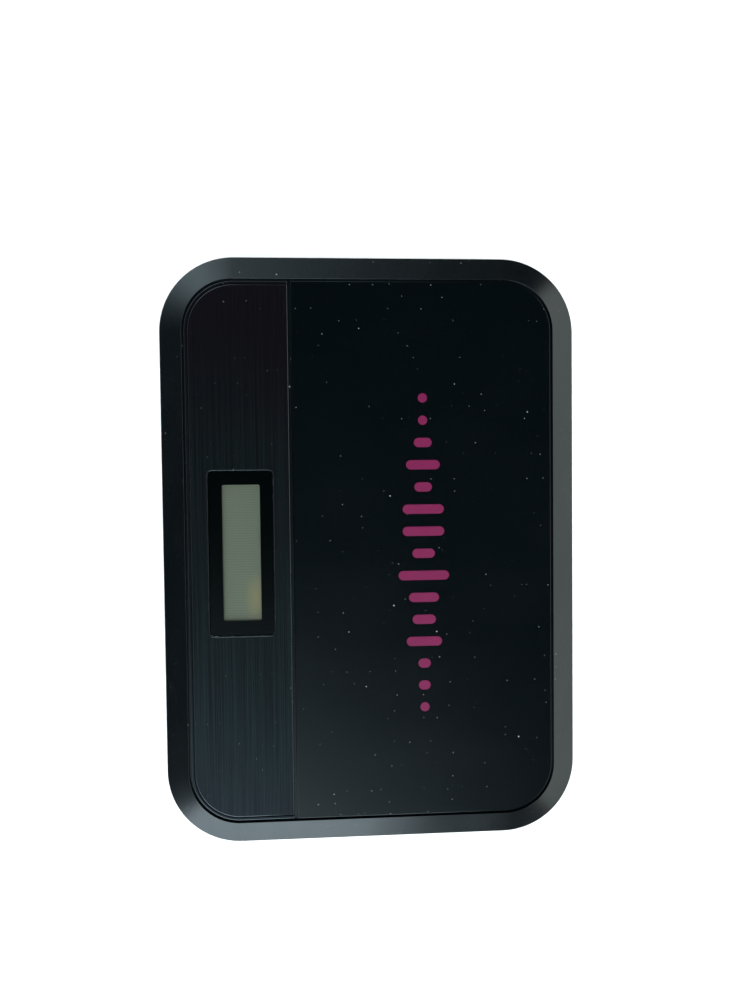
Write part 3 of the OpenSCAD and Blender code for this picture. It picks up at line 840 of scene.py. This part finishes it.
class HOTSPOT_OT_top_panel(bpy.types.Operator):
    """Large top panel with its printed bars"""
    bl_idname = "hotspot.top_panel"
    bl_label = "Top panel"

    def execute(self, context):
        sizes = context.scene.hotspot_case
        finishes = context.scene.hotspot_finish
        radius = sizes.corner_radius - (HIGH.y - PANEL_HIGH.y)
        panel = rounded_block("face_panel", PANEL_LOW, PANEL_HIGH, radius, steps=28,
                              corners=lambda p: p.y > 0)
        soften(panel, at_level(Z, PANEL_HIGH.z), 0.18 * MM, 4)
        finish_piece(panel, "root", "panel_black", panel_black(finishes), "top_panel")
        self.print_bars(finishes)
        return {"FINISHED"}

    def print_bars(self, finishes):
        """A row of round-ended bars whose heights rise and fall, as a picture of a radio signal."""
        count, pitch, width = 15, 4.05 * MM, 1.7 * MM
        middle_x, middle_y, tallest = 0.5 * MM, 9.5 * MM, 9.8 * MM
        bars = []
        for i in range(count):
            swell = math.sin(math.pi * (i + 0.5) / count)
            ripple = 0.7 + 0.3 * math.cos(2.3 * i)
            tall = max(width, tallest * swell * ripple)
            x = middle_x + (i - (count - 1) / 2) * pitch
            bar = rounded_block("bar", (x - width / 2, middle_y - tall / 2, PANEL_HIGH.z - 0.02 * MM),
                                (x + width / 2, middle_y + tall / 2, PANEL_HIGH.z + 0.02 * MM),
                                width / 2 - 0.002 * MM, steps=8)
            bars.append(bar)
        only(bars[0])
        for bar in bars:
            bar.select_set(True)
        bpy.ops.object.join()
        bars[0].name = "signal_bars"
        ink = plain_finish("magenta_ink", tuple(finishes.mark), 0.42, grain=0.25, depth=1.0, vary=0.1)
        finish_piece(bars[0], "root", "panel_black", ink)


class HOTSPOT_OT_display_strip(bpy.types.Operator):
    """Brushed strip with its ridge and the bead round the window"""
    bl_idname = "hotspot.display_strip"
    bl_label = "Display strip"

    def execute(self, context):
        sizes = context.scene.hotspot_case
        strip_sizes = context.scene.hotspot_strip
        radius = sizes.corner_radius - (TRIM_LOW.y - LOW.y)
        plate_top = HIGH.z - strip_sizes.bead_height
        valley_floor = plate_top - strip_sizes.valley_depth
        front = lambda p: p.y < (TRIM_LOW.y + TRIM_HIGH.y) / 2

        def layer(name, drawn_in, bottom, top, reach=0.0):
            """A layer of the strip, drawn in on its three rounded sides."""
            return rounded_block(name, (TRIM_LOW.x + drawn_in, TRIM_LOW.y + drawn_in, bottom),
                                 (TRIM_HIGH.x - drawn_in, TRIM_HIGH.y + reach, top),
                                 radius - drawn_in, steps=28, corners=front)

        strip = layer("brushed_display_strip", 0.0, TRIM_LOW.z, plate_top)
        soften(strip, at_level(Z, plate_top), strip_sizes.ridge_edge, 4)
        width = strip_sizes.ridge_width
        cut(strip, layer("hollow", width, valley_floor, HIGH.z + MM, MM))
        plate = layer("plate", width + strip_sizes.valley, TRIM_LOW.z + 0.05 * MM, plate_top)
        soften(plate, at_level(Z, plate_top), strip_sizes.plate_edge, 4)
        fuse(strip, plate)
        gap, grow = 0.05 * MM, strip_sizes.bead_width
        between = (gap + grow) / 2

        def window_block(name, reach, bottom, top):
            """A block that is a reach wider all round than the lens."""
            return rounded_block(name, *spread(LENS_LOW, LENS_HIGH, reach, bottom, top),
                                 strip_sizes.window_radius + reach, steps=8)

        cut(strip, window_block("window", between, TRIM_LOW.z - MM, HIGH.z + MM))
        fuse(strip, frame_ring("bead", *spread(LENS_LOW, LENS_HIGH, grow, TRIM_LOW.z + 0.02 * MM, HIGH.z),
                               strip_sizes.window_radius + grow, grow - gap, 0.05 * MM))
        finishes = context.scene.hotspot_finish
        brushed = brushed_strip(finishes, strip_sizes.hairline)
        finish_piece(strip, "root", "brushed_dark", brushed, "display_trim")
        polished = plain_finish("polished_edge", tuple(finishes.edging), 0.25, 0.9, grain=0.6, depth=0.3)
        polish_edges(strip, valley_floor, polished)
        return {"FINISHED"}


class HOTSPOT_OT_window(bpy.types.Operator):
    """Window lens, and the finishes of the mask and the display under it"""
    bl_idname = "hotspot.window"
    bl_label = "Window"

    def execute(self, context):
        strip_sizes = context.scene.hotspot_strip
        lens = rounded_block("window_lens", LENS_LOW, LENS_HIGH, strip_sizes.window_radius - 0.05 * MM,
                             steps=8)
        soften(lens, at_level(Z, LENS_HIGH.z), 0.12 * MM, 3)
        finish_piece(lens, "root", "window", window_glass(), "display_lens")
        mask = plain_finish("window_mask", (0.0001, 0.0007, 0.0010), 0.12, grain=0.8, depth=0.2, shine=0.15)
        dress("lens_mask", mask)
        dress("lcd_glass", display_face(context.scene.hotspot_finish))
        return {"FINISHED"}


class HOTSPOT_OT_side_buttons(bpy.types.Operator):
    """Power and pairing buttons with crowned caps"""
    bl_idname = "hotspot.side_buttons"
    bl_label = "Side buttons"

    def execute(self, context):
        tone = tuple(c * 1.4 for c in context.scene.hotspot_finish.case)
        material = plain_finish("button_satin", tone, 0.36, grain=0.25, depth=1.2)
        for node, body, side in (("power_button", "power", 1), ("pairing_button", "pairing", -1)):
            button = self.build(node, side)
            finish_piece(button, body, "button_black", material, node)
        return {"FINISHED"}

    def build(self, node, side):
        """A crowned cap with a flange behind the wall and a stem that meets the switch's plunger."""
        low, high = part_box(node)
        cap_face = HIGH.x - 0.1 * MM
        middle = (low + high) / 2
        half_y = (high.y - low.y) / 2 - BUTTON_FLANGE_Y
        half_z = (high.z - low.z) / 2 - BUTTON_FLANGE_Z

        def bar(name, x_from, x_to, reach_y, reach_z, radius):
            inner, outer = sorted((side * x_from, side * x_to))
            return rounded_block(name, (inner, middle.y - reach_y, middle.z - reach_z),
                                 (outer, middle.y + reach_y, middle.z + reach_z), radius, X, 12)

        button = bar(node + "_cap", HIGH.x - 2 * MM, cap_face, half_y, half_z, half_z - 0.005 * MM)
        soften(button, at_level(X, side * cap_face), 0.4 * MM, 5)
        flange_y, flange_z = half_y + BUTTON_FLANGE_Y, half_z + BUTTON_FLANGE_Z
        fuse(button, bar("flange", HIGH.x - 2.3 * MM, HIGH.x - 1.75 * MM, flange_y, flange_z,
                         flange_z - 0.005 * MM))
        stem_end = min(abs(low.x), abs(high.x))
        fuse(button, bar("stem", stem_end, HIGH.x - 2.2 * MM, 1.5 * MM, 0.7 * MM, 0.2 * MM))
        return button


class HOTSPOT_OT_charging_port(bpy.types.Operator):
    """Metal shell of the charging port"""
    bl_idname = "hotspot.charging_port"
    bl_label = "Charging port"

    def execute(self, context):
        shell = block("port_shell", PORT_LOW, PORT_HIGH)
        for level, radius, steps in ((PORT_LOW.z, 0.85 * MM, 5), (PORT_HIGH.z, 0.3 * MM, 4)):
            soften(shell, lambda a, b: near(a.x, b.x) and at_level(Z, level)(a, b), radius, steps)
        inset(shell, facing(Y, PORT_HIGH.y, 1), 0.2 * MM)
        centre = (PORT_LOW + PORT_HIGH) / 2
        push(shell, lambda middle, normal: normal.y > 0.99 and abs(middle.x) < 0.5 * MM
             and abs(middle.z - centre.z) < 0.5 * MM, (0, -4.7 * MM, 0))
        soften(shell, at_level(Y, PORT_HIGH.y), 0.05 * MM, 2)
        steel = plain_finish("port_steel", (0.55, 0.55, 0.56), 0.22, 1.0, grain=0.3, depth=0.6)
        finish_piece(shell, "root", "port_steel", steel, "usb_shell")
        return {"FINISHED"}


def dress(node, material):
    """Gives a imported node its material."""
    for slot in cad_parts[node].material_slots:
        slot.material = material


# Finishes of the inner parts: name, colour, roughness, metallic, grain, depth, unevenness and nodes
INNER_FINISHES = (
    ("tinned_steel", (0.55, 0.55, 0.54), 0.3, 1.0, 0.5, 1.0, 0.18,
     "modem_shield radio_shield wifi_shield sim_socket power_switch pairing_switch reset_switch "
     "board_crystals"),
    ("gold_plate", (0.80, 0.58, 0.24), 0.25, 1.0, 0.3, 0.5, 0.18,
     "battery_terminals battery_springs sim_contacts sim_pads usb_contacts antenna_springs"),
    ("chip_epoxy", (0.018, 0.018, 0.02), 0.55, 0.0, 0.2, 2.0, 0.18,
     "modem_chip memory_chip power_chip transceiver_chip power_amplifiers wifi_chip"),
    ("connector_moulding", (0.02, 0.02, 0.022), 0.45, 0.0, 0.25, 1.5, 0.18,
     "battery_connector usb_tongue"),
    ("antenna_copper", (0.62, 0.30, 0.13), 0.3, 1.0, 0.6, 0.8, 0.18,
     "main_antenna diversity_antenna wifi_antenna"),
    ("white_moulding", (0.72, 0.72, 0.69), 0.5, 0.0, 0.3, 1.0, 0.04,
     "lcd_frame lcd_backlight power_plunger pairing_plunger reset_plunger sim_card"),
    ("black_zinc", (0.05, 0.05, 0.055), 0.35, 0.8, 0.3, 1.0, 0.18, "housing_screws board_screws"),
    ("battery_film", (0.045, 0.05, 0.06), 0.35, 0.0, 0.9, 3.0, 0.18, "battery_pack"),
    ("thermal_silicone", (0.22, 0.34, 0.5), 0.7, 0.0, 0.4, 3.0, 0.18, "thermal_pad"),
    ("ribbon_film", (0.45, 0.19, 0.04), 0.3, 0.0, 0.6, 0.6, 0.18, "lcd_flex"),
    ("ivory_moulding", (0.6, 0.56, 0.46), 0.5, 0.0, 0.3, 1.0, 0.18, "lcd_connector"),
    ("capacitor_ceramic", (0.36, 0.25, 0.14), 0.5, 0.0, 0.2, 1.5, 0.18, "board_capacitors"),
    ("ferrite", (0.06, 0.06, 0.065), 0.6, 0.0, 0.2, 2.0, 0.18, "board_inductors"),
)


class HOTSPOT_OT_inner_parts(bpy.types.Operator):
    """Finishes of the board, the battery and everything else inside"""
    bl_idname = "hotspot.inner_parts"
    bl_label = "Inner parts"

    def execute(self, context):
        dress("main_board", circuit_board())
        for *settings, nodes in INNER_FINISHES:
            material = plain_finish(*settings)
            for node in nodes.split():
                dress(node, material)
        return {"FINISHED"}


# ---- Stage ----

def softbox(name, place, target, size, watts, tint):
    """A rectangular area light aimed at a point."""
    bpy.ops.object.light_add(type="AREA", location=place)
    lamp = bpy.context.object
    lamp.name = name
    lamp.data.shape = "RECTANGLE"
    lamp.data.size, lamp.data.size_y = size
    lamp.data.energy = watts
    lamp.data.color = tint
    lamp.rotation_euler = (Vector(target) - Vector(place)).to_track_quat("-Z", "Y").to_euler()


# Soft glows in the room: strength, sharpness, aim
GLOWS = [
    (2.9, 24.0, (0.62, -0.22, 0.75)),
    (3.0, 17.0, (-0.78, -0.47, 0.43)),
]


class HOTSPOT_OT_stage(bpy.types.Operator):
    """Pale floor, soft lights and the camera"""
    bl_idname = "hotspot.stage"
    bl_label = "Stage"

    def execute(self, context):
        studio = context.scene.hotspot_studio
        self.lay_floor(studio)
        self.light_world(context.scene, studio)
        self.hang_lights(studio)
        self.place_camera(context.scene, studio)
        context.scene.view_settings.view_transform = "Standard"
        return {"FINISHED"}

    def lay_floor(self, studio):
        bpy.ops.object.select_all(action="DESELECT")
        bpy.ops.mesh.primitive_plane_add(size=8.0, location=(0, 0, -0.02 * MM))
        floor = bpy.context.object
        floor.name = "floor"
        paper = plain_finish("floor_paper", tuple(studio.floor), 0.8, grain=1.5, depth=2.0, vary=0.01)
        floor.data.materials.append(paper)

    def light_world(self, scene, studio):
        """Dim room with soft glows; the backdrop itself is seen white."""
        world = bpy.data.worlds.new("room")
        world.use_nodes = True
        scene.world = world
        tree = world.node_tree
        room = tree.nodes["Background"]
        room.inputs["Color"].default_value = (0.70, 0.91, 1.0, 1.0)
        direction = tree.nodes.new("ShaderNodeTexCoord").outputs["Generated"]
        total = studio.room
        for strength, power, aim in GLOWS:
            glow = self.glow(tree, direction, strength * studio.glow, power, aim)
            total = calculate(tree, "ADD", total, glow)
        tree.links.new(total, room.inputs["Strength"])
        backdrop = tree.nodes.new("ShaderNodeBackground")
        backdrop.inputs["Color"].default_value = (1.0, 1.0, 1.0, 1.0)
        seen = tree.nodes.new("ShaderNodeLightPath")
        mix = tree.nodes.new("ShaderNodeMixShader")
        tree.links.new(seen.outputs["Is Camera Ray"], mix.inputs["Fac"])
        tree.links.new(room.outputs["Background"], mix.inputs[1])
        tree.links.new(backdrop.outputs["Background"], mix.inputs[2])
        tree.links.new(mix.outputs["Shader"], tree.nodes["World Output"].inputs["Surface"])

    @staticmethod
    def glow(tree, direction, strength, power, aim):
        """A round glow in the room that fades away from its aim."""
        along = tree.nodes.new("ShaderNodeVectorMath")
        along.operation = "DOT_PRODUCT"
        tree.links.new(direction, along.inputs[0])
        along.inputs[1].default_value = Vector(aim).normalized()
        lit = calculate(tree, "MAXIMUM", along.outputs["Value"], 0.0)
        return calculate(tree, "MULTIPLY", calculate(tree, "POWER", lit, power), strength)

    def hang_lights(self, studio):
        middle = (0, 0, HIGH.z)
        bpy.ops.object.light_add(type="SUN", location=(0, 0, 1))
        overhead = bpy.context.object
        overhead.name = "overhead"
        overhead.data.energy = studio.overhead
        overhead.data.angle = math.radians(35)
        overhead.rotation_euler = (math.radians(-6), math.radians(10), 0)
        overhead.visible_glossy = False
        softbox("window_side", (0.60, -0.19, 0.34), middle, (0.54, 0.40), 3.4, (0.74, 0.92, 1.0))
        softbox("right_fill", (0.06, 0.62, 0.36), middle, (1.42, 0.35), 2.95, (0.89, 1.0, 0.98))

    def place_camera(self, scene, studio):
        """Straight above, close and slightly off centre, with the long side upright in the picture."""
        bpy.ops.object.camera_add()
        camera = bpy.context.object
        camera.name = "camera"
        right = Vector((0.0107, 0.99812, 0.06029))
        up = Vector((-0.99949, 0.01249, -0.02933))
        back = Vector((-0.03003, -0.05995, 0.99775))
        place = Vector((-13.34 * MM, -7.25 * MM, HIGH.z + 131.8 * MM))
        turn = Matrix((right, up, back)).transposed().to_4x4()
        camera.matrix_world = Matrix.Translation(place) @ turn
        camera.data.lens = studio.lens
        camera.data.sensor_width = 36.0
        camera.data.clip_start = 0.01
        scene.camera = camera


# ---- Add-on ----

class HOTSPOT_PT_panel(bpy.types.Panel):
    """Sidebar panel with every build step"""
    bl_idname = "HOTSPOT_PT_panel"
    bl_label = "Pocket hotspot"
    bl_space_type = "VIEW_3D"
    bl_region_type = "UI"
    bl_category = "Hotspot"

    def draw(self, context):
        for operator in OPERATORS:
            self.layout.operator(operator.bl_idname)
        for group in SETTINGS:
            settings = getattr(context.scene, group)
            for name in settings.__annotations__:
                self.layout.prop(settings, name)


OPERATORS = (
    HOTSPOT_OT_front_case, HOTSPOT_OT_rear_case, HOTSPOT_OT_battery_cover, HOTSPOT_OT_top_panel,
    HOTSPOT_OT_display_strip, HOTSPOT_OT_window, HOTSPOT_OT_side_buttons, HOTSPOT_OT_charging_port,
    HOTSPOT_OT_inner_parts, HOTSPOT_OT_stage,
)
SETTINGS = {
    "hotspot_case": CaseSizes,
    "hotspot_strip": StripSizes,
    "hotspot_finish": Finishes,
    "hotspot_studio": Studio,
}


def register():
    for kind in (*SETTINGS.values(), *OPERATORS, HOTSPOT_PT_panel):
        bpy.utils.register_class(kind)
    for name, kind in SETTINGS.items():
        setattr(bpy.types.Scene, name, PointerProperty(type=kind))


def unregister():
    for name in SETTINGS:
        delattr(bpy.types.Scene, name)
    for kind in reversed((*SETTINGS.values(), *OPERATORS, HOTSPOT_PT_panel)):
        bpy.utils.unregister_class(kind)


def main():
    register()
    bpy.ops.hotspot.front_case()
    bpy.ops.hotspot.rear_case()
    bpy.ops.hotspot.battery_cover()
    bpy.ops.hotspot.top_panel()
    bpy.ops.hotspot.display_strip()
    bpy.ops.hotspot.window()
    bpy.ops.hotspot.side_buttons()
    bpy.ops.hotspot.charging_port()
    bpy.ops.hotspot.inner_parts()
    bpy.ops.hotspot.stage()
    bpy.context.view_layer.update()


if __name__ == "__main__":
    main()
